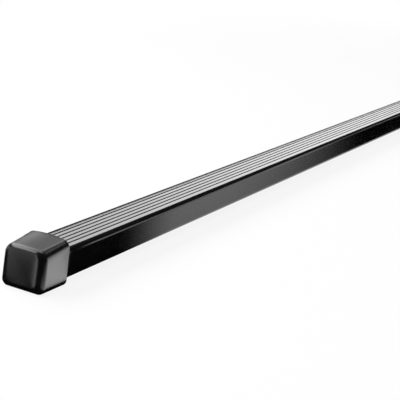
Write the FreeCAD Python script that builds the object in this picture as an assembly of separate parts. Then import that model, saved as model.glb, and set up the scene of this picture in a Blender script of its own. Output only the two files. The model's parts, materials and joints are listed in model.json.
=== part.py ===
"""Roof rack crossbar: a steel load bar in a ribbed plastic jacket, with a soft cap on each end.

Millimetres. X runs along the bar and +Z is up. The origin is midway along the bar, on the
surface that the flat undersides of the two caps stand on.
"""
import FreeCAD, Part
import math
import os
from FreeCAD import Vector

# Load bar, over its jacket
bar_length = 1270.0
section_width = 32.0
section_height = 22.0
section_corner = 3.5

# Jacket thickness beside and under the tube, and over it up to the tops of the lands
jacket_wall = 1.2
jacket_top = 1.6

# Grooves along the jacket's top, which leave one more land than there are grooves
groove_count = 5
groove_pitch = 4.2
groove_depth = 0.8
groove_wall_angle = 75.0
groove_bottom_radius = 0.4
land_edge_radius = 0.3

# Steel tube, with the low bead that seam welding leaves inside its bottom wall
tube_wall = 2.0
tube_corner = 2.5
weld_bead_width = 2.4
weld_bead_height = 0.5

# Cap outside: how far it stands out from the bar at its open rim, how its top falls to its front, and how
# far back the top of its front lies from the bottom
cap_length = 30.0
cap_side_stand = 1.2
cap_under_stand = 4.2
cap_over_stand = 6.2
cap_top_taper = 1.9
cap_front_lean = 1.5
cap_rounding = 5.6
cap_rim_chamfer = 0.6

# Cap inside: a lip closes on the bar at the rim, and behind it ribs grip the bar over each land
cap_front_wall = 4.0
cap_shell_wall = 2.0
cap_lip_depth = 3.0
grip_rib_thickness = 1.6

# Clearances between a cap and the bar that it is pushed onto
socket_clearance = 0.2
stop_clearance = 0.2

# Where these sizes put things
bar_end = bar_length / 2
bar_bottom = cap_under_stand
bar_top = bar_bottom + section_height
tube_width = section_width - 2 * jacket_wall
tube_height = section_height - jacket_wall - jacket_top
tube_bottom = bar_bottom + jacket_wall
cap_stop = bar_end + stop_clearance
cap_front = cap_stop + cap_front_wall
cap_rim = cap_front - cap_length
rim_width = section_width + 2 * cap_side_stand
rim_height = cap_under_stand + section_height + cap_over_stand


def arc(start, middle, end):
    return Part.Arc(start, middle, end).toShape()


def line(start, end):
    return Part.LineSegment(start, end).toShape()


def solid_between(wire, length):
    """The closed wire's face, carried along +X over the given length."""
    return Part.Face(wire).extrude(Vector(length, 0, 0))


def corner_arc(x, centre_y, centre_z, radius, first_angle):
    """A quarter turn, anticlockwise in the YZ plane as seen from +X."""
    points = []
    for turned in (0, 45, 90):
        angle = math.radians(first_angle + turned)
        points.append(Vector(x, centre_y + radius * math.cos(angle), centre_z + radius * math.sin(angle)))
    return arc(*points)


def lower_rounded_edges(x, width, bottom, top, radius, bead=None):
    """The left side, bottom and right side of a rounded rectangle, with its four corners.

    The edges run from the left end of its flat top round to the right end. A bead is a low
    ridge, given as its width and height, that stands up from the middle of the bottom.
    """
    flat = width / 2 - radius
    edges = [
        corner_arc(x, -flat, top - radius, radius, 90),
        line(Vector(x, -width / 2, top - radius), Vector(x, -width / 2, bottom + radius)),
        corner_arc(x, -flat, bottom + radius, radius, 180),
    ]
    if bead:
        half = bead[0] / 2
        edges.append(line(Vector(x, -flat, bottom), Vector(x, -half, bottom)))
        edges.append(arc(Vector(x, -half, bottom), Vector(x, 0, bottom + bead[1]), Vector(x, half, bottom)))
        edges.append(line(Vector(x, half, bottom), Vector(x, flat, bottom)))
    else:
        edges.append(line(Vector(x, -flat, bottom), Vector(x, flat, bottom)))
    edges += [
        corner_arc(x, flat, bottom + radius, radius, 270),
        line(Vector(x, width / 2, bottom + radius), Vector(x, width / 2, top - radius)),
        corner_arc(x, flat, top - radius, radius, 0),
    ]
    return edges


def rounded_rectangle(x, width, bottom, top, radius, bead=None):
    flat = width / 2 - radius
    edges = lower_rounded_edges(x, width, bottom, top, radius, bead)
    edges.append(line(Vector(x, flat, top), Vector(x, -flat, top)))
    return Part.Wire(edges)


def tube_outline(x):
    return rounded_rectangle(x, tube_width, tube_bottom, tube_bottom + tube_height, tube_corner)


def make_tube():
    """Roll-formed steel tube, open at both ends."""
    bore = rounded_rectangle(
        -bar_end,
        tube_width - 2 * tube_wall,
        tube_bottom + tube_wall,
        tube_bottom + tube_height - tube_wall,
        max(tube_corner - tube_wall, tube_corner / 4),
        (weld_bead_width, weld_bead_height),
    )
    return solid_between(tube_outline(-bar_end), bar_length).cut(solid_between(bore, bar_length))


def groove_places():
    """Y of each groove's middle."""
    return [(k - (groove_count - 1) / 2) * groove_pitch for k in range(groove_count)]


def land_places():
    """Y of the middle of each land, with the two outer ones half a pitch past the end grooves."""
    return [(k - groove_count / 2) * groove_pitch for k in range(groove_count + 1)]


def groove_edges(x, middle, surface):
    """One groove from +Y to -Y: a rounded land edge, a steep wall, a round bottom and the same back.

    Both returned ends lie on the surface, and every arc is tangent to its neighbours.
    """
    angle = math.radians(groove_wall_angle)
    radii = land_edge_radius + groove_bottom_radius
    wall = (groove_depth - radii * (1 - math.cos(angle))) / math.sin(angle)
    half = radii * math.sin(angle) + wall * math.cos(angle)

    def on_edge(turned, side):
        across = half - land_edge_radius * math.sin(turned)
        return Vector(x, middle + side * across, surface - land_edge_radius * (1 - math.cos(turned)))

    def on_bottom(turned, side):
        across = groove_bottom_radius * math.sin(turned)
        depth = groove_depth - groove_bottom_radius * (1 - math.cos(turned))
        return Vector(x, middle + side * across, surface - depth)

    return [
        arc(on_edge(0, 1), on_edge(angle / 2, 1), on_edge(angle, 1)),
        line(on_edge(angle, 1), on_bottom(angle, 1)),
        arc(on_bottom(angle, 1), on_bottom(0, 1), on_bottom(angle, -1)),
        line(on_bottom(angle, -1), on_edge(angle, -1)),
        arc(on_edge(angle, -1), on_edge(angle / 2, -1), on_edge(0, -1)),
    ]


def make_jacket():
    """Extruded plastic jacket, bonded to the tube all round and cut off flush with its ends."""
    x = -bar_end
    edges = lower_rounded_edges(x, section_width, bar_bottom, bar_top, section_corner)
    last = Vector(x, section_width / 2 - section_corner, bar_top)
    for middle in reversed(groove_places()):
        groove = groove_edges(x, middle, bar_top)
        edges.append(line(last, groove[0].valueAt(groove[0].FirstParameter)))
        edges += groove
        last = groove[-1].valueAt(groove[-1].LastParameter)
    edges.append(line(last, Vector(x, section_corner - section_width / 2, bar_top)))
    return solid_between(Part.Wire(edges), bar_length).cut(solid_between(tube_outline(x), bar_length))


def edges_at(shape, x):
    """The edges that lie in the plane at this X."""
    return [e for e in shape.Edges if all(abs(v.X - x) < 1e-6 for v in e.Vertexes)]


def edges_past(shape, x):
    """The edges that reach beyond the plane at this X."""
    return [e for e in shape.Edges if max(v.X for v in e.Vertexes) > x + 1e-6]


def cap_form(x_start, x_end, inset):
    """The cap's rounded form between two X, lying inside its outside by the inset.

    Its bottom is level, its top falls towards its end and its end leans back. Every edge is rounded
    but for those round its start.
    """
    def top(x):
        return rim_height - cap_top_taper * (x - cap_rim) / cap_length - inset

    side = inset - rim_width / 2
    top_end = x_end - cap_front_lean
    outline = Part.makePolygon([
        Vector(x_start, side, inset),
        Vector(x_end, side, inset),
        Vector(top_end, side, top(top_end)),
        Vector(x_start, side, top(x_start)),
        Vector(x_start, side, inset),
    ])
    block = Part.Face(outline).extrude(Vector(0, -2 * side, 0))
    return block.makeFillet(cap_rounding - inset, edges_past(block, x_start))


def cap_outside():
    """The cap for the +X end as a full body, with a chamfer round its rim."""
    body = cap_form(cap_rim, cap_front, 0)
    return body.makeChamfer(cap_rim_chamfer, edges_at(body, cap_rim))


def cap_relief():
    """The hollow behind the lip, one shell wall inside the cap, less the ribs that grip the bar."""
    start = cap_rim + cap_lip_depth
    hollow = cap_form(start, cap_stop, cap_shell_wall)
    for middle in land_places():
        corner_point = Vector(start, middle - grip_rib_thickness / 2, 0)
        hollow = hollow.cut(Part.makeBox(cap_stop - start, grip_rib_thickness, rim_height, corner_point))
    return hollow


def make_cap():
    """Soft moulded cap for the +X end, with a socket that the bar's end stops in."""
    socket = rounded_rectangle(
        cap_rim,
        section_width + 2 * socket_clearance,
        bar_bottom - socket_clearance,
        bar_top + socket_clearance,
        section_corner + socket_clearance,
    )
    return cap_outside().cut(cap_relief()).cut(solid_between(socket, cap_stop - cap_rim))


def single_solid(shape):
    """The one solid that a shape holds, with split faces joined up again."""
    solids = shape.removeSplitter().Solids
    assert len(solids) == 1, len(solids)
    assert solids[0].isValid()
    return solids[0]


right_cap = make_cap()
nodes = {
    "steel_tube": make_tube(),
    "jacket": make_jacket(),
    "end_cap_right": right_cap,
    "end_cap_left": right_cap.mirror(Vector(0, 0, 0), Vector(1, 0, 0)),
}

os.makedirs("parts", exist_ok=True)
for name, shape in nodes.items():
    solid = single_solid(shape)
    solid.exportStep("parts/" + name + ".step")
    box = solid.BoundBox
    print(name, "%.1f cm3" % (solid.Volume / 1000), "%.1f x %.1f x %.1f mm" % (box.XLength, box.YLength, box.ZLength))
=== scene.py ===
# %% [markdown]
# # A roof rack crossbar
# The bar is a steel tube inside an extruded black plastic jacket with a grooved top, and a soft rubber cap
# is pushed over each end. The sizes and the places come from a packed engineering model, which is loaded
# first and never moved. This lesson gives it its looks: smooth surfaces, real materials and studio light.

# %% Load the engineering model
import json
import math

import bmesh
import bpy
import numpy as np
from mathutils import Matrix, Vector

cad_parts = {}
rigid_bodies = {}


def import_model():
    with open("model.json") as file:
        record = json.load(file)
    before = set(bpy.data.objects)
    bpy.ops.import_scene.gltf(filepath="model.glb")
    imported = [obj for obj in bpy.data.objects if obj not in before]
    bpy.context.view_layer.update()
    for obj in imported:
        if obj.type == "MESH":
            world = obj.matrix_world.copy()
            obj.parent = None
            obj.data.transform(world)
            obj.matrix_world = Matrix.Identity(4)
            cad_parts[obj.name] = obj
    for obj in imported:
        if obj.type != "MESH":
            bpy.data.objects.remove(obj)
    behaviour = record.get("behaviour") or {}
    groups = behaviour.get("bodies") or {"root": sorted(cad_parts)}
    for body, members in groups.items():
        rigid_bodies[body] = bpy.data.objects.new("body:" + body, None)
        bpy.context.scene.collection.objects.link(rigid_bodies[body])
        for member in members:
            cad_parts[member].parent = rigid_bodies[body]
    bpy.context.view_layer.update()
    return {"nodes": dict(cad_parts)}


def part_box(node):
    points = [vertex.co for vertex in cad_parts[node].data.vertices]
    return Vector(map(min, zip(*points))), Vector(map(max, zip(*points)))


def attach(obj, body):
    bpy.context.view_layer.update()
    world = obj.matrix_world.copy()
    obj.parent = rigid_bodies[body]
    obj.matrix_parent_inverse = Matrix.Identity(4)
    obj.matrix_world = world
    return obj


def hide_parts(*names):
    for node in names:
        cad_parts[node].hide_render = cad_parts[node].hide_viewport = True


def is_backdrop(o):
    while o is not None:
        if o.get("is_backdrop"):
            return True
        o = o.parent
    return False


MM = 0.001
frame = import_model()
print("nodes:", sorted(frame["nodes"]))

# %% [markdown]
# ## Helpers for surfaces
# Every new piece here is a closed skin made of rings. A ring is a row of points that runs round the bar's
# long axis, anticlockwise as seen from +X, and the next ring lies a little further along. Each four
# neighbouring points make one face. It could be modelled by hand with extrude and bevel, but rings that
# are worked out as whole arrays follow the drawing exactly and are quick to change.

# %% A skin from rings
def ring_faces(ring_count, point_count, joined_ends):
    """Corner numbers of the faces between neighbouring rings.

    Point j of ring i has the number i * point_count + j. A face goes from it to its neighbour round the
    ring, then across to the next ring and back. With joined_ends the last ring meets the first again.
    """
    ring = np.arange(ring_count if joined_ends else ring_count - 1)[:, None]
    point = np.arange(point_count)[None, :]
    next_ring = (ring + 1) % ring_count
    next_point = (point + 1) % point_count
    corners = (
        ring * point_count + point,
        ring * point_count + next_point,
        next_ring * point_count + next_point,
        next_ring * point_count + point,
    )
    return np.stack(corners, axis=-1).reshape(-1, 4)


def make_skin(name, rings, joined_ends, inside_out=False, sharp_from=40):
    """A mesh object from an array of rings by points by 3 coordinates, in metres.

    Points that lie on each other, such as a ring that has shrunk to a pole, are merged.
    """
    faces = ring_faces(rings.shape[0], rings.shape[1], joined_ends)
    if inside_out:
        faces = faces[:, ::-1]
    mesh = bpy.data.meshes.new(name)
    mesh.from_pydata(rings.reshape(-1, 3), [], faces)
    work = bmesh.new()
    work.from_mesh(mesh)
    bmesh.ops.remove_doubles(work, verts=work.verts, dist=MM / 1000)
    work.to_mesh(mesh)
    work.free()
    mesh.shade_smooth()
    mesh.set_sharp_from_angle(angle=math.radians(sharp_from))
    made = bpy.data.objects.new(name, mesh)
    bpy.context.scene.collection.objects.link(made)
    print(name, "has", len(mesh.polygons), "faces")
    return made


# %% Lines and arcs in a cross-section
def arc(centre_y, centre_z, radius, start, end, steps):
    """Points on a circle: the centre plus the radius times (cos, sin) of an angle.

    The angle runs from start to end, in degrees from +Y towards +Z.
    """
    turn = np.radians(np.linspace(start, end, steps + 1))
    return np.stack((centre_y + radius * np.cos(turn), centre_z + radius * np.sin(turn)), axis=-1)


def between(start, end, shares):
    """Points on a straight line: the start plus a share of the way to the end."""
    start = np.array(start, float)
    return start + np.asarray(shares)[:, None] * (np.array(end, float) - start)


def at_x(section, x):
    """A cross-section of (y, z) points as a ring at this x."""
    return np.column_stack((np.full(len(section), x), section))


# %% [markdown]
# ## Helpers for materials
# A material is a small network of nodes. One helper adds any node, with its settings and its links, so a
# material reads as a list of what it is made of. Colours are written as they look on a screen, in hex, and
# one function turns them to the linear values that the renderer works with.

# %% Colours and nodes
def linear(hex_colour):
    """An sRGB hex colour as linear red, green, blue and alpha.

    Each channel is c / 12.92 below 0.04045, and ((c + 0.055) / 1.055) to the power of 2.4 above it.
    """
    channels = [int(hex_colour[k:k + 2], 16) / 255 for k in (1, 3, 5)]
    return (*(c / 12.92 if c <= 0.04045 else ((c + 0.055) / 1.055) ** 2.4 for c in channels), 1.0)


def add(tree, kind, inputs=None, **settings):
    """A new node. An input gets a value, or a link where it is given another node's output."""
    made = tree.nodes.new(kind)
    for name, value in settings.items():
        setattr(made, name, value)
    for name, value in (inputs or {}).items():
        if isinstance(value, bpy.types.NodeSocket):
            tree.links.new(value, made.inputs[name])
        else:
            made.inputs[name].default_value = value
    return made


def start_material(name):
    """An empty material's node tree, and its output node."""
    material = bpy.data.materials.new(name)
    material.use_nodes = True
    material.node_tree.nodes.clear()
    return material, material.node_tree, add(material.node_tree, "ShaderNodeOutputMaterial")


# %% [markdown]
# ## The jacket
# The jacket is one extruded profile, so its section is the same all along: rounded corners, flat sides, and
# five grooves that leave six lands along the top, where loads rest without sliding. The tube fills its
# inside. A sweep of the section along a line gives exactly that. Each groove is drawn as the die cuts it,
# with arcs that run smoothly into its walls.

# %% The jacket's sizes
jacket_low, jacket_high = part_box("jacket")
tube_low, tube_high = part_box("steel_tube")
jacket_corner = 3.5 * MM
tube_corner = 2.5 * MM
groove_count = 5
groove_pitch = 4.2 * MM
groove_depth = 0.8 * MM
groove_wall_angle = 75.0
groove_bottom_radius = 0.4 * MM
land_edge_radius = 0.3 * MM
print("jacket in mm:", [round(side / MM, 1) for side in jacket_high - jacket_low])

# %% One groove
land_edge_points = 7
groove_bottom_points = 11


def groove_section(middle, surface):
    """One groove from +Y to -Y: a round land edge, a steep wall, a round bottom and the same back.

    At an angle t from level, the land edge is radius * sin(t) in and radius * (1 - cos(t)) down from where
    it starts, and the bottom is the same form upside down. The wall joins them at the wall angle.
    """
    steep = math.radians(groove_wall_angle)
    radii = land_edge_radius + groove_bottom_radius
    wall = (groove_depth - radii * (1 - math.cos(steep))) / math.sin(steep)
    half_width = radii * math.sin(steep) + wall * math.cos(steep)
    t = np.linspace(0, steep, land_edge_points)
    edge_y = half_width - land_edge_radius * np.sin(t)
    edge_z = surface - land_edge_radius * (1 - np.cos(t))
    t = np.linspace(steep, -steep, groove_bottom_points)
    bottom_y = groove_bottom_radius * np.sin(t)
    bottom_z = surface - groove_depth + groove_bottom_radius * (1 - np.cos(t))
    y = np.concatenate((edge_y, bottom_y, -edge_y[::-1]))
    z = np.concatenate((edge_z, bottom_z, edge_z[::-1]))
    return np.column_stack((middle + y, z))


print("points in a groove:", len(groove_section(0, 0)))

# %% The jacket's section
corner_steps = 20
guard = 0.08 * MM   # a point this near a curve's end keeps the flat beside it flat


def guarded(start, end):
    """The middle of a straight stretch and a guard point near each of its ends."""
    share = guard / math.dist(start, end)
    return between(start, end, (share, 0.5, 1 - share))


def jacket_section():
    """The outer outline of the jacket, from its lower +Y corner anticlockwise."""
    side = jacket_high.y
    flat = side - jacket_corner
    low = jacket_low.z + jacket_corner
    high = jacket_high.z - jacket_corner
    parts = [
        arc(flat, low, jacket_corner, -90, 0, corner_steps),
        guarded((side, low), (side, high)),
        arc(flat, high, jacket_corner, 0, 90, corner_steps),
    ]
    last = (flat, jacket_high.z)
    for k in range(groove_count):
        middle = ((groove_count - 1) / 2 - k) * groove_pitch
        groove = groove_section(middle, jacket_high.z)
        parts += [guarded(last, groove[0]), groove]
        last = groove[-1]
    parts += [
        guarded(last, (-flat, jacket_high.z)),
        arc(-flat, high, jacket_corner, 90, 180, corner_steps),
        guarded((-side, high), (-side, low)),
        arc(-flat, low, jacket_corner, 180, 270, corner_steps),
        guarded((-flat, jacket_low.z), (flat, jacket_low.z)),
    ]
    return np.concatenate(parts)


def nearest_on_rounded_box(points, low, high, radius):
    """Each point's nearest place on a rounded rectangle.

    The point is clamped to the rectangle of the corner centres, and the place lies one radius from there
    towards the point.
    """
    centre = np.clip(points, np.array(low) + radius, np.array(high) - radius)
    away = points - centre
    return centre + radius * away / np.linalg.norm(away, axis=1, keepdims=True)


outer = jacket_section()
inner = nearest_on_rounded_box(outer, (tube_low.y, tube_low.z), (tube_high.y, tube_high.z), tube_corner)
print("points round the jacket:", len(outer))

# %% Sweep it along the bar
jacket_ring_count = 49
jacket_stations = np.linspace(jacket_low.x, jacket_high.x, jacket_ring_count)
jacket_rings = np.stack(
    [at_x(outer, x) for x in jacket_stations] + [at_x(inner, x) for x in jacket_stations[::-1]]
)
jacket = make_skin("grooved_jacket", jacket_rings, joined_ends=True)
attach(jacket, "bar")
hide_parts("jacket")

# %% [markdown]
# ## The end caps
# A cap is moulded in soft rubber: a rounded block with a crowned top that slopes down to a front which leans
# back, and with a socket for the bar's end. Its upper edges get rounder towards the front. Inside, a lip
# closes on the bar at the rim, and behind it thin ribs, one in line with each land, grip the bar from above
# and below. A cube with a bevel has none of this, so the cap is a skin of rings that starts inside the
# socket, turns round the rim and closes over the front. The left cap is the right one mirrored.

# %% The cap's outer sizes
cap_low, cap_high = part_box("end_cap_right")
cap_rim = cap_low.x
cap_front = cap_high.x
cap_half_width = 17.1 * MM        # at the rim
cap_top = 31.5 * MM               # at the rim, beside the crown
cap_crown = 1.9 * MM              # how far the middle of the top rises there
cap_rim_corner = 4.8 * MM         # upper corners at the rim
cap_front_half_width = 16.8 * MM
cap_front_top = 29.3 * MM
cap_front_crown = 0.9 * MM
cap_front_corner = 7.4 * MM
cap_low_corner = 4.8 * MM         # lower corners all along
cap_bow = 0.1 * MM                # how far the middle of a side stands out
cap_front_lean = 1.5 * MM
cap_front_rounding = 4.1 * MM     # of the edge round the front, along the bar
cap_front_inset = 6.5 * MM        # how far that edge comes in from the sides
cap_front_drop = 3.4 * MM         # and down from the top
cap_front_rise = 4.6 * MM         # and up from the bottom
cap_rim_rounding = 0.6 * MM
cap_front_dome = 0.25 * MM
print("cap's box in mm:", [round(side / MM, 1) for side in cap_high - cap_low])

# %% A rounded block's section
# Its flats have two close points at each edge of a rib, so the ribs inside get sharp edges
grip_rib_thickness = 1.6 * MM
land_places = (np.arange(groove_count + 1) - groove_count / 2) * groove_pitch
socket_flat = jacket_high.y - jacket_corner
both_sides = np.array((-0.5, 0.5))
rib_edges = (land_places[:, None] + both_sides * grip_rib_thickness).ravel()
beside_edges = (rib_edges[:, None] + both_sides * guard).ravel()
flat_shares = np.concatenate(((-0.98,), beside_edges / socket_flat, (0.98,)))
side_shares = (0.03, 0.25, 0.5, 0.75, 0.97)
cap_corner_steps = 14


def block_section(half_width, bottom, top, low_corner, high_corner, crown=0.0, bow=0.0):
    """A rounded rectangle, anticlockwise from its lower +Y corner, whose top and sides may bulge.

    The top rises by crown * (1 - across ** 2) and the sides stand out by bow * (1 - up ** 2), where across
    and up run from -1 to 1 over the block.
    """
    low_flat = half_width - low_corner
    high_flat = half_width - high_corner
    low = bottom + low_corner
    high = top - high_corner
    level = np.zeros_like(flat_shares)
    points = np.concatenate((
        arc(low_flat, low, low_corner, -90, 0, cap_corner_steps),
        between((half_width, low), (half_width, high), side_shares),
        arc(high_flat, high, high_corner, 0, 90, cap_corner_steps),
        np.column_stack((-high_flat * flat_shares, level + top)),
        arc(-high_flat, high, high_corner, 90, 180, cap_corner_steps),
        between((-half_width, high), (-half_width, low), side_shares),
        arc(-low_flat, low, low_corner, 180, 270, cap_corner_steps),
        np.column_stack((low_flat * flat_shares, level + bottom)),
    ))
    across = points[:, 0] / half_width
    up = (points[:, 1] - (bottom + top) / 2) / ((top - bottom) / 2)
    lift = np.where(up > 0, crown * (1 - across ** 2), 0)
    push = bow * np.sign(across) * (1 - up ** 2)
    return points + np.column_stack((push, lift))


print("points round a cap:", 4 * (cap_corner_steps + 1) + 2 * (len(side_shares) + len(flat_shares)))

# %% Sections of the cap's outside
def outside_sizes(x):
    """Half width, top, upper corner and crown, each in a straight line from the rim to the front."""
    at_rim = np.array((cap_half_width, cap_top, cap_rim_corner, cap_crown))
    at_front = np.array((cap_front_half_width, cap_front_top, cap_front_corner, cap_front_crown))
    return at_rim + (x - cap_rim) / (cap_front - cap_rim) * (at_front - at_rim)


def outside_section(x, inset=0.0, drop=0.0, rise=0.0):
    """The cap's outside between its rim and its front, drawn in from its sides, its top and its bottom.

    Its corner radii shrink by half as much.
    """
    half_width, top, corner, crown = outside_sizes(x)
    return block_section(
        half_width - inset, rise, top - drop,
        cap_low_corner - rise / 2, corner - inset / 2, crown, cap_bow,
    )


def leaned(ring):
    """The ring with its points moved back by the front's lean, times the way along and the way up."""
    along = (ring[:, 0] - cap_rim) / (cap_front - cap_rim)
    up = ring[:, 2] / cap_front_top
    return ring - np.outer(cap_front_lean * along * up, (1, 0, 0))


def rounding(radius, steps):
    """Along and in, for a quarter turn that starts level with a surface and ends square to it.

    At an angle a the point is radius * (1 - sin(a)) short of the end and a share of 1 - cos(a) in.
    """
    a = np.radians(np.linspace(0, 90, steps + 1))
    return zip(radius * (1 - np.sin(a)), 1 - np.cos(a))


print("section at the rim:", outside_section(cap_rim).shape)

# %% Rings outside
rim_steps = 4
front_steps = 14
front_shares = (0.98, 0.85, 0.7, 0.55, 0.4, 0.25, 0.1, 0)
rim_turn = []
for short, share in rounding(cap_rim_rounding, rim_steps):
    inset = share * cap_rim_rounding
    rim_turn.insert(0, at_x(outside_section(cap_rim, inset, inset, inset), cap_rim + short))
body_start = cap_rim + cap_rim_rounding
body_end = cap_front - cap_front_rounding
body_shares = np.concatenate(((0.01,), np.linspace(0.1, 0.9, 9), (0.99,)))
body = [at_x(outside_section(x), x) for x in body_start + body_shares * (body_end - body_start)]
front_insets = np.array((cap_front_inset, cap_front_drop, cap_front_rise))
front_turn = [at_x(outside_section(body_end, *(share * front_insets)), cap_front - short)
              for short, share in rounding(cap_front_rounding, front_steps)]
front_edge = front_turn[-1]
front_middle = np.array((cap_front, 0, (front_edge[:, 2].min() + front_edge[:, 2].max()) / 2))
front_face = []
for share in front_shares:
    swollen = np.array((cap_front_dome * (1 - share ** 2), 0, 0))
    front_face.append(front_middle + share * (front_edge - front_middle) + swollen)
outside = [leaned(ring) for ring in rim_turn + body + front_turn + front_face]
print("rings outside:", len(outside))

# %% Sections of the cap's inside
socket_clearance = 0.2 * MM
shell_wall = 2.0 * MM


def socket_section(grow=0.0):
    """The bar's outline with the socket's clearance round it."""
    edge = socket_clearance + grow
    corner = jacket_corner + edge
    return block_section(jacket_high.y + edge, jacket_low.z - edge, jacket_high.z + edge, corner, corner)


def relief_section(x):
    """The socket's outline, pushed up and down to the relief behind the lip where no rib stands.

    The relief lies one shell wall inside the cap. Over its corners its height falls along a circle.
    """
    points = socket_section()
    half_width, top, corner = outside_sizes(x)[:3]
    corner -= shell_wall
    past_flat = np.clip(np.abs(points[:, 0]) - (half_width - shell_wall - corner), 0, corner)
    drop = corner - np.sqrt(corner ** 2 - past_flat ** 2)
    in_rib = np.abs(points[:, :1] - land_places).min(axis=1) < grip_rib_thickness / 2
    at_side = np.abs(points[:, 0]) > half_width - shell_wall
    upper = points[:, 1] > (jacket_low.z + jacket_high.z) / 2
    lifted = np.maximum(points[:, 1], top - shell_wall - drop)
    lowered = np.minimum(points[:, 1], shell_wall + drop)
    height = np.where(in_rib | at_side, points[:, 1], np.where(upper, lifted, lowered))
    return np.column_stack((points[:, 0], height))


print("section at the socket:", socket_section().shape)

# %% Rings inside
stop_clearance = 0.2 * MM
lip_depth = 3.0 * MM
lip_rounding = 0.3 * MM
cap_stop = jacket_high.x + stop_clearance
lip_end = cap_rim + lip_depth
stop_shares = (0, 0.35, 0.7, 0.95, 1)
relief_ring_count = 6
lip_ring_count = 3
stop_edge = at_x(socket_section(), cap_stop)
stop_middle = np.array((cap_stop, 0, (jacket_low.z + jacket_high.z) / 2))
stop_wall = [stop_middle + share * (stop_edge - stop_middle) for share in stop_shares]
relief = [at_x(relief_section(x), x) for x in np.linspace(cap_stop, lip_end, relief_ring_count)]
lip_places = np.linspace(lip_end, cap_rim + 1.5 * lip_rounding, lip_ring_count)
lip = [at_x(socket_section(), x) for x in lip_places]
lip_turn = [at_x(socket_section(share * lip_rounding), cap_rim + short)
            for short, share in rounding(lip_rounding, rim_steps)]
inside = stop_wall + relief + lip + lip_turn
print("rings inside:", len(inside))

# %% Both caps
cap_rings = np.stack(inside + outside)
end_caps = []
for side, direction in (("left", -1), ("right", 1)):
    rings = cap_rings * np.array((direction, 1, 1))
    cap = make_skin("rubber_cap_" + side, rings, joined_ends=False, inside_out=direction < 0)
    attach(cap, "cap_" + side)
    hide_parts("end_cap_" + side)
    end_caps.append(cap)

# %% [markdown]
# ## Black plastic for the jacket
# The jacket is extruded thermoplastic, pigmented black right through. The die leaves a smooth, glossy skin
# with very fine lines along the bar, so it mirrors the studio in long, slightly drawn-out reflections.
# Painting those would fix the light. A plastic with a low roughness and a lined bump lets the light do it.

# %% Extruded plastic
plastic_black = "#0a0a0b"
plastic_black_worn = "#121314"
die_line_spacing = 0.35 * MM     # across the bar; real die lines are finer, and this is as fine as shows
die_line_length = 180 * MM
die_line_height = 0.002 * MM
wear_size = 30 * MM
plastic, tree, output = start_material("extruded_black_plastic")
place = add(tree, "ShaderNodeTexCoord").outputs["Object"]
along_die = add(tree, "ShaderNodeMapping", {
    "Vector": place,
    "Scale": (1 / die_line_length, 1 / die_line_spacing, 1 / die_line_spacing),
})
die_lines = add(tree, "ShaderNodeTexNoise", {"Vector": along_die.outputs[0], "Scale": 1.0, "Detail": 2.0})
wear = add(tree, "ShaderNodeTexNoise", {"Vector": place, "Scale": 1 / wear_size, "Detail": 3.0})
colour = add(tree, "ShaderNodeMix", {
    "Factor": wear.outputs["Fac"], "A": linear(plastic_black), "B": linear(plastic_black_worn),
}, data_type="RGBA")
roughness = add(tree, "ShaderNodeMapRange", {
    "Value": die_lines.outputs["Fac"], "From Min": 0.3, "From Max": 0.7, "To Min": 0.10, "To Max": 0.15,
})
bump = add(tree, "ShaderNodeBump", {"Height": die_lines.outputs["Fac"], "Distance": die_line_height})
skin = add(tree, "ShaderNodeBsdfPrincipled", {
    "Base Color": colour.outputs["Result"],
    "Roughness": roughness.outputs["Result"],
    "IOR": 1.5,
    "Normal": bump.outputs["Normal"],
})
tree.links.new(skin.outputs["BSDF"], output.inputs["Surface"])
jacket.data.materials.append(plastic)
print("materials on the jacket:", [m.name for m in jacket.data.materials])

# %% [markdown]
# ## Rubber for the caps
# The caps are moulded in black rubber. The mould is spark-eroded, which prints a fine even grain on it, so
# the surface mirrors the studio only as soft patches, with a satin sheen that turns to grey at a low angle.
# A small bump of rounded grains and a moderate roughness do this, over a near black with slightly paler
# clouds where the rubber has bloomed.

# %% Moulded rubber
rubber_black = "#070708"
rubber_bloom = "#0d0d0e"
grain_size = 0.7 * MM            # real grain is about 0.2 mm, and this is as fine as shows
grain_height = 0.02 * MM
bloom_size = 9 * MM
rubber, tree, output = start_material("moulded_black_rubber")
place = add(tree, "ShaderNodeTexCoord").outputs["Object"]
grain = add(tree, "ShaderNodeTexNoise", {"Vector": place, "Scale": 1 / grain_size, "Detail": 2.0})
bloom = add(tree, "ShaderNodeTexNoise", {"Vector": place, "Scale": 1 / bloom_size, "Detail": 3.0})
colour = add(tree, "ShaderNodeMix", {
    "Factor": bloom.outputs["Fac"], "A": linear(rubber_black), "B": linear(rubber_bloom),
}, data_type="RGBA")
roughness = add(tree, "ShaderNodeMapRange", {
    "Value": bloom.outputs["Fac"], "From Min": 0.3, "From Max": 0.7, "To Min": 0.20, "To Max": 0.25,
})
bump = add(tree, "ShaderNodeBump", {"Height": grain.outputs["Fac"], "Distance": grain_height})
skin = add(tree, "ShaderNodeBsdfPrincipled", {
    "Base Color": colour.outputs["Result"],
    "Roughness": roughness.outputs["Result"],
    "IOR": 1.52,
    "Normal": bump.outputs["Normal"],
})
tree.links.new(skin.outputs["BSDF"], output.inputs["Surface"])
for cap in end_caps:
    cap.data.materials.append(rubber)
print("materials on a cap:", [m.name for m in end_caps[0].data.materials])

# %% [markdown]
# ## Galvanised steel for the tube
# The tube shows only when a cap is pulled off, as a cut end and a dim bore. It is rolled from galvanised
# strip, so zinc crystals give it a patchy grey, and rolling leaves faint lines along it. The engineering
# model's own mesh has the right shape, so it stays and only gets this material.

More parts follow.
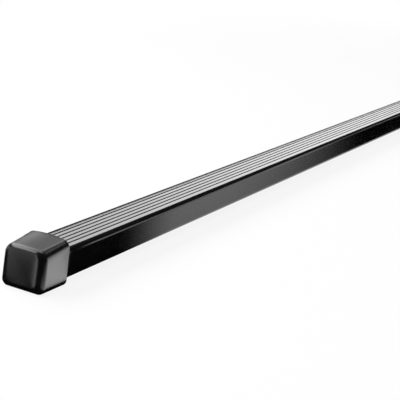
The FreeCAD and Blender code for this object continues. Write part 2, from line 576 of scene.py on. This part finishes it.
# %% Galvanised steel
zinc_light = "#a9adb0"
zinc_dark = "#7f8487"
crystal_size = 3 * MM
roll_line_length = 60 * MM
roll_line_spacing = 0.5 * MM
roll_line_height = 0.01 * MM
steel, tree, output = start_material("galvanised_steel")
place = add(tree, "ShaderNodeTexCoord").outputs["Object"]
crystals = add(tree, "ShaderNodeTexVoronoi", {"Vector": place, "Scale": 1 / crystal_size})
along_rolls = add(tree, "ShaderNodeMapping", {
    "Vector": place,
    "Scale": (1 / roll_line_length, 1 / roll_line_spacing, 1 / roll_line_spacing),
})
roll_lines = add(tree, "ShaderNodeTexNoise", {"Vector": along_rolls.outputs[0], "Scale": 1.0})
colour = add(tree, "ShaderNodeMix", {
    "Factor": crystals.outputs["Color"], "A": linear(zinc_dark), "B": linear(zinc_light),
}, data_type="RGBA")
roughness = add(tree, "ShaderNodeMapRange", {
    "Value": crystals.outputs["Color"], "From Min": 0.0, "From Max": 1.0, "To Min": 0.3, "To Max": 0.5,
})
bump = add(tree, "ShaderNodeBump", {"Height": roll_lines.outputs["Fac"], "Distance": roll_line_height})
skin = add(tree, "ShaderNodeBsdfPrincipled", {
    "Base Color": colour.outputs["Result"],
    "Metallic": 1.0,
    "Roughness": roughness.outputs["Result"],
    "Normal": bump.outputs["Normal"],
})
tree.links.new(skin.outputs["BSDF"], output.inputs["Surface"])
tube = frame["nodes"]["steel_tube"]
tube.data.materials.clear()
tube.data.materials.append(steel)
print("materials on the tube:", [m.name for m in tube.data.materials])

# %% [markdown]
# ## The camera
# The camera stands low beyond the left end, so the bar runs away from it. Its place was worked out from the
# bar's edges, which meet at a vanishing point, and from the cap's outline at the bar's known width.

# %% Camera
image_side = 400
focal_length_in_pixels = 1168
sensor_width = 36.0
camera_place = Vector((-1242.7, -402.0, 278.7)) * MM
view_direction = Vector((0.8729, 0.4065, -0.2699)).normalized()
view_up = Vector((0.1872, 0.2316, 0.9546))
right = view_direction.cross(view_up).normalized()
up = right.cross(view_direction)
camera_data = bpy.data.cameras.new("camera")
camera_data.sensor_width = sensor_width
camera_data.lens = focal_length_in_pixels / image_side * sensor_width
camera_data.clip_start = 10 * MM
camera_data.clip_end = 100.0
camera = bpy.data.objects.new("camera", camera_data)
turned = Matrix((right, up, -view_direction)).transposed().to_4x4()
camera.matrix_world = Matrix.Translation(camera_place) @ turned
bpy.context.scene.collection.objects.link(camera)
bpy.context.scene.camera = camera
print("lens in mm:", round(camera_data.lens, 2))

# %% [markdown]
# ## The studio
# The bar lies on a white table that runs out to a white wall. To the eye and to reflections the table mostly
# glows, and far out it does nothing else, so the background is even. Beside the bar a small share of its
# white comes from the studio's light instead, so the bar leaves a soft shadow there. The room above is dark,
# which is what keeps the rounded corners of a glossy black thing black.

# %% Pieces of the studio
square_corners = np.array([(-1, -1, 0), (1, -1, 0), (1, 1, 0), (-1, 1, 0)], float)


def stage_object(name, points, faces, material):
    """A mesh that belongs to the studio and not to the bar."""
    mesh = bpy.data.meshes.new(name)
    mesh.from_pydata(points, [], faces)
    mesh.materials.append(material)
    made = bpy.data.objects.new(name, mesh)
    bpy.context.scene.collection.objects.link(made)
    made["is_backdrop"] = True
    return made


def stage_count():
    """How many pieces the studio has so far."""
    return len([o for o in bpy.context.scene.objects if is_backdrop(o)])


# %% The table
table_white = "#f4f4f4"
table_level = -0.1 * MM
room_radius = 12.0
table_half_side = 1.1 * room_radius
glow_near = 0.88                # share of the glow beside the bar
glow_starts = 0.35              # it grows from this distance
glow_full = 0.9                 # to this one
distance_counts = (0.5, 1, 1)   # distances along the bar count half, so the glow follows its length

paper, tree, output = start_material("white_table")
place = add(tree, "ShaderNodeTexCoord").outputs["Object"]
from_bar = add(tree, "ShaderNodeVectorMath", {0: place, 1: distance_counts}, operation="MULTIPLY")
distance = add(tree, "ShaderNodeVectorMath", {0: from_bar.outputs[0]}, operation="LENGTH")
glow_there = add(tree, "ShaderNodeMapRange", {
    "Value": distance.outputs["Value"],
    "From Min": glow_starts, "From Max": glow_full, "To Min": glow_near, "To Max": 1.0,
}, interpolation_type="SMOOTHSTEP").outputs["Result"]
path = add(tree, "ShaderNodeLightPath").outputs
mirrored = add(tree, "ShaderNodeMath", {
    0: path["Is Glossy Ray"], 1: path["Is Transmission Ray"],
}, operation="MAXIMUM")
seen = add(tree, "ShaderNodeMath", {0: path["Is Camera Ray"], 1: mirrored.outputs[0]}, operation="MAXIMUM")
share = add(tree, "ShaderNodeMath", {0: glow_there, 1: seen.outputs[0]}, operation="MULTIPLY")
lit = add(tree, "ShaderNodeBsdfDiffuse", {"Color": linear(table_white)})
glow = add(tree, "ShaderNodeEmission", {"Color": (1, 1, 1, 1), "Strength": 1.0})
both = add(tree, "ShaderNodeMixShader", {0: share.outputs[0], 1: lit.outputs[0], 2: glow.outputs[0]})
tree.links.new(both.outputs[0], output.inputs["Surface"])
table_corners = table_half_side * square_corners + np.array((0, 0, table_level))
stage_object("table", table_corners, [(0, 1, 2, 3)], paper)
print("table's side in m:", round(2 * table_half_side, 1))

# %% The wall and the dark room
wall_height = 2.4
wall_point_count = 96
room_glow = 0.03
white_wall, tree, output = start_material("white_wall")
glow = add(tree, "ShaderNodeEmission", {"Color": (1, 1, 1, 1), "Strength": 1.0})
tree.links.new(glow.outputs[0], output.inputs["Surface"])
turn = np.linspace(0, 2 * np.pi, wall_point_count, endpoint=False)
circle = np.column_stack((room_radius * np.cos(turn), room_radius * np.sin(turn), np.zeros_like(turn)))
wall_points = np.concatenate((circle, circle + np.array((0, 0, wall_height))))
stage_object("wall", wall_points, ring_faces(2, wall_point_count, joined_ends=False), white_wall)

world = bpy.data.worlds.new("dark_room")
bpy.context.scene.world = world
world.use_nodes = True
background = world.node_tree.nodes["Background"].inputs
background["Color"].default_value = (1, 1, 1, 1)
background["Strength"].default_value = room_glow
print("pieces of the studio:", stage_count())

# %% [markdown]
# ## Softboxes
# A softbox is a glowing panel that is brightest in its middle. The long one above and behind the bar lights
# everything, and the top edge of the cap's front shows it together with a smaller one overhead. Far beyond
# the bar's right end, the lines of sight that the lands mirror arrive along a slope. A strip hangs just
# there, so every land shows it and every groove breaks it up. Above the strip a dimmer panel gives the cap's
# top its even grey, and another one makes the rounded edge beside it fade slowly.

# %% Softboxes
def softbox(name, centre, across, up, radiance):
    """A panel from its centre and its two half sides. Its glow fades to its edges.

    Over it u and v run from -1 to 1 along the half sides, and the glow is (1 - u ** 4) * (1 - v ** 4).
    """
    material, tree, output = start_material(name)
    place = add(tree, "ShaderNodeTexCoord").outputs["Object"]
    square = add(tree, "ShaderNodeVectorMath", {0: place, 1: place}, operation="MULTIPLY").outputs[0]
    fourth = add(tree, "ShaderNodeVectorMath", {0: square, 1: square}, operation="MULTIPLY").outputs[0]
    rest = add(tree, "ShaderNodeVectorMath", {0: (1, 1, 1), 1: fourth}, operation="SUBTRACT")
    axes = add(tree, "ShaderNodeSeparateXYZ", {0: rest.outputs[0]})
    fade = add(tree, "ShaderNodeMath", {0: axes.outputs["X"], 1: axes.outputs["Y"]}, operation="MULTIPLY")
    strength = add(tree, "ShaderNodeMath", {0: fade.outputs[0], 1: radiance}, operation="MULTIPLY")
    glow = add(tree, "ShaderNodeEmission", {"Strength": strength.outputs[0]})
    tree.links.new(glow.outputs[0], output.inputs["Surface"])
    made = stage_object(name, square_corners, [(0, 1, 2, 3)], material)
    across = Vector(across)
    up = Vector(up)
    sides = Matrix((across, up, across.cross(up).normalized())).transposed().to_4x4()
    made.matrix_world = Matrix.Translation(centre) @ sides
    made.visible_camera = False
    made.visible_shadow = False


beyond = 2.2   # X of the plane past the bar's right end from which three panels face it
softbox("softbox_above", (-1.15, 1.4, 1.55), across=(2.15, 0, 0), up=(0, -0.35, 0.7), radiance=5.9)
softbox("softbox_overhead", (-0.66, -0.05, 2.1), across=(0.45, 0, 0), up=(0, 0.5, 0), radiance=5.5)
softbox("softbox_beyond", (beyond, 1.5, 0.968), across=(0, 1.3, 0.826), up=(0, -0.134, 0.211), radiance=2.84)
softbox("softbox_for_cap", (beyond, 1.1, 2.456), across=(0, -1.6, 0.85), up=(0, 0.2, 0.45), radiance=1.2)
softbox("softbox_for_corner", (beyond, -0.7, 3.05), across=(0, -1.3, -0.12), up=(0, 0, 0.42), radiance=1.8)
print("pieces of the studio with softboxes:", stage_count())

# %% [markdown]
# ## Cards
# A photographer lays cards beside glossy black things, which only show in their reflections. Black ones keep
# the bar's side and edges deep black where the table would turn them grey, and are clear where the side
# should shine. Round the left cap, glowing ones light its side and a line beside its upright edge, and black
# ones draw that edge and darken its end. Each card is a strip between two rows of points, placed where the
# camera's line of sight goes after it is mirrored.

# %% Fades and rows of points
side_y = jacket_low.y
edge_inside = 4.6 * MM   # how far the centre of the cap's upright edge lies inside its side and its front
edge_place = (edge_inside - cap_front, edge_inside - cap_front_half_width)


def smooth_step(value, start, end):
    """0 before the start, 1 after the end, and 3 t ** 2 - 2 t ** 3 between them."""
    t = np.clip((value - start) / (end - start), 0, 1)
    return 3 * t ** 2 - 2 * t ** 3


def hump(value, start, full, fade, end):
    """A smooth step up from start to full, times a smooth step down from fade to end."""
    return smooth_step(value, start, full) * (1 - smooth_step(value, fade, end))


def row(x, y, z):
    """Points from their coordinates. A single number serves for all of them."""
    return np.stack(np.broadcast_arrays(x, y, z), axis=-1).astype(float)


def mirrored_in_side(side_x, out, level):
    """Points this far out in front of the side, on the lines of sight that it mirrors at side_x.

    In plan such a line goes on at the slope at which it came from the camera, with y turned round.
    """
    slope = (side_x - camera_place.x) / (side_y - camera_place.y)
    return row(side_x + slope * out, side_y - out, level)


def fan(radius, angles, level):
    """Points on a circle round the left cap's near upright edge, at angles in degrees from +X."""
    turn = np.radians(angles)
    return row(edge_place[0] + radius * np.cos(turn), edge_place[1] + radius * np.sin(turn), level)


print("upright edge in mm:", [round(value / MM, 1) for value in edge_place])

# %% A card
card_level = 0.3 * MM    # over the table, and cards that cross each other lie at different levels


def card(name, near, far, clear, radiance=0.0):
    """A card that only reflections see, black unless it glows, with a share of clearness at its points.

    The share is one number, one for each point of a row, or one such list for each of the two rows.
    """
    material, tree, output = start_material(name)
    surface = add(tree, "ShaderNodeEmission", {"Strength": radiance})
    nothing = add(tree, "ShaderNodeBsdfTransparent")
    share = add(tree, "ShaderNodeAttribute", attribute_name="clear").outputs["Fac"]
    both = add(tree, "ShaderNodeMixShader", {0: share, 1: surface.outputs[0], 2: nothing.outputs[0]})
    tree.links.new(both.outputs[0], output.inputs["Surface"])
    count = len(near)
    faces = [(k, k + 1, k + 1 + count, k + count) for k in range(count - 1)]
    made = stage_object(name, np.concatenate((near, far)), faces, material)
    clearness = made.data.attributes.new("clear", "FLOAT", "POINT")
    clearness.data.foreach_set("value", np.broadcast_to(clear, (2, count)).ravel())
    made.visible_camera = False
    made.visible_diffuse = False
    made.visible_shadow = False
    made.visible_transmission = False


def standing_card(name, low, height, clear, radiance=0.0):
    """A card that stands on its lower row."""
    card(name, low, low + np.array((0, 0, height)), clear, radiance)


def fan_card(name, radii, angles, level, clear, near_turn=0.0):
    """A level card between two circles round the upright edge. Its near row may be turned back."""
    card(name, fan(radii[0], angles - near_turn, level), fan(radii[1], angles, level), clear)


# %% Cards along the bar
# On the table in front of it: the side is black beside the cap, shines, and darkens again along the bar
side_x = np.linspace(-cap_rim, 1.0, 120)
rise = smooth_step(side_x, -0.540, -0.449)
fall = 1 - smooth_step(side_x, -0.470, 0.0)
side_near = mirrored_in_side(side_x, out=(2 + 6 * rise) * MM, level=card_level)
side_far = mirrored_in_side(side_x, out=110 * MM, level=card_level)
card("side_card", side_near, side_far, clear=0.95 * rise * fall)

# A slope beside the cap's rim: the side is black there up to its top
rim_x = np.linspace(-cap_rim, -0.56, 8)
rim_near = mirrored_in_side(rim_x, out=1.5 * MM, level=card_level)
rim_far = mirrored_in_side(rim_x, out=14 * MM, level=34 * MM)
card("rim_card", rim_near, rim_far, clear=smooth_step(rim_x, -0.598, -0.575))

# A low wall behind the bar, which darkens only the top's back edge
back_row = row((-cap_rim, 1.1), y=22 * MM, z=0)
standing_card("back_card", back_row, height=33.05 * MM, clear=0)

# A low wall in front of the bar's far part, which keeps the white wall out of the front corner
front_x = np.linspace(-0.12, 1.3, 60)
front_row = row(front_x, y=-60 * MM, z=0)
standing_card("front_card", front_row, height=42 * MM, clear=1 - smooth_step(front_x, -0.12, 0.08))
print("pieces of the studio so far:", stage_count())

# %% Cards beside the left cap
# A slope and a wall in front of the cap, whose glow turns its side grey
side_glow_radiance = 2.9
glow_share = np.linspace(0, 1, 24)
glow_clear = 0.85 * (1 - smooth_step(glow_share, 0.0, 0.62))
glow_near = row(-0.668 + 0.0717 * glow_share, y=side_y - 8 * MM, z=card_level)
glow_far = row(-0.62 + 0.646 * glow_share, y=side_y - 0.4, z=75 * MM)
wall_clear = (np.maximum(glow_clear, smooth_step(glow_share, 0.85, 1.0)), np.ones_like(glow_share))
card("side_glow", glow_near, glow_far, glow_clear, side_glow_radiance)
standing_card("side_glow_wall", glow_far, height=170 * MM, clear=wall_clear, radiance=side_glow_radiance)

# A black fan and a wall round its near upright edge. The fan's near row is turned, so that its image leans as
# the edge does
edge_angles = np.linspace(152, 283, 53)
edge_clear = 1 - hump(edge_angles, 152, 153.5, 267, 283)
edge_radii = (6 * MM, 170 * MM)
edge_level = 2 * card_level
fan_card("edge_card", edge_radii, edge_angles, edge_level, edge_clear, near_turn=9)
standing_card("edge_wall", fan(edge_radii[1], edge_angles, edge_level), height=75 * MM, clear=edge_clear)

# A narrow standing glow, which draws the light line beside that edge
line_angles = np.linspace(140, 166, 60)
line_clear = 1 - hump(line_angles, 149, 153, 157.5, 159)
line_row = fan(20 * MM, line_angles, 2.5 * card_level)
standing_card("left_glow", line_row, height=32.25 * MM, clear=line_clear, radiance=2.5)
print("pieces of the studio so far:", stage_count())

# %% Cards before the bar's left end
# A black fan, which keeps the cap's end dark
shade_angles = np.linspace(110, 156, 40)
shade_clear = (np.full_like(shade_angles, 0.16), 1 - 0.9 * hump(shade_angles, 134, 142, 148, 150))
fan_card("left_shade", (5 * MM, 130 * MM), shade_angles, card_level / 2, shade_clear)

# Another one, which draws the end's far upright edge
far_edge_angles = np.linspace(80, 132, 30)
far_edge_clear = smooth_step(far_edge_angles, 112, 126)
fan_card("left_edge_card", (30 * MM, 400 * MM), far_edge_angles, 1.5 * card_level, far_edge_clear)

# A black card under the cap and the bar's near part, which keeps their lower edges black
foot_x = np.linspace(-0.647, -0.42, 60)
foot_half_width = 25 * MM
foot_level = 0.2 * MM
foot_near = row(foot_x, -foot_half_width, foot_level)
foot_far = row(foot_x, foot_half_width, foot_level)
card("foot_card", foot_near, foot_far, clear=smooth_step(foot_x, -0.537, -0.43))
print("pieces of the studio so far:", stage_count())

# %% A glow above
# It fades out towards the long softbox and softens the highlights' edges
above_height = 1.55
above_x = np.linspace(-1.6, 1.6, 16)
above_clear = (np.ones_like(above_x), 1 - hump(above_x, -1.6, -1.0, 0.7, 1.6))
above_back = row(above_x, y=1.1, z=above_height)
above_front = row(above_x, y=0.2, z=above_height)
card("above_glow", above_back, above_front, above_clear, radiance=3.5)
print("pieces of the studio in all:", stage_count())

# %% [markdown]
# ## Colours as they are
# Blender's usual view transform draws bright whites down to grey, as film does. The standard one leaves
# every colour as it is, so the table comes out white and the plastic black.

# %% Colour management
bpy.context.scene.view_settings.view_transform = "Standard"
print("view transform:", bpy.context.scene.view_settings.view_transform)
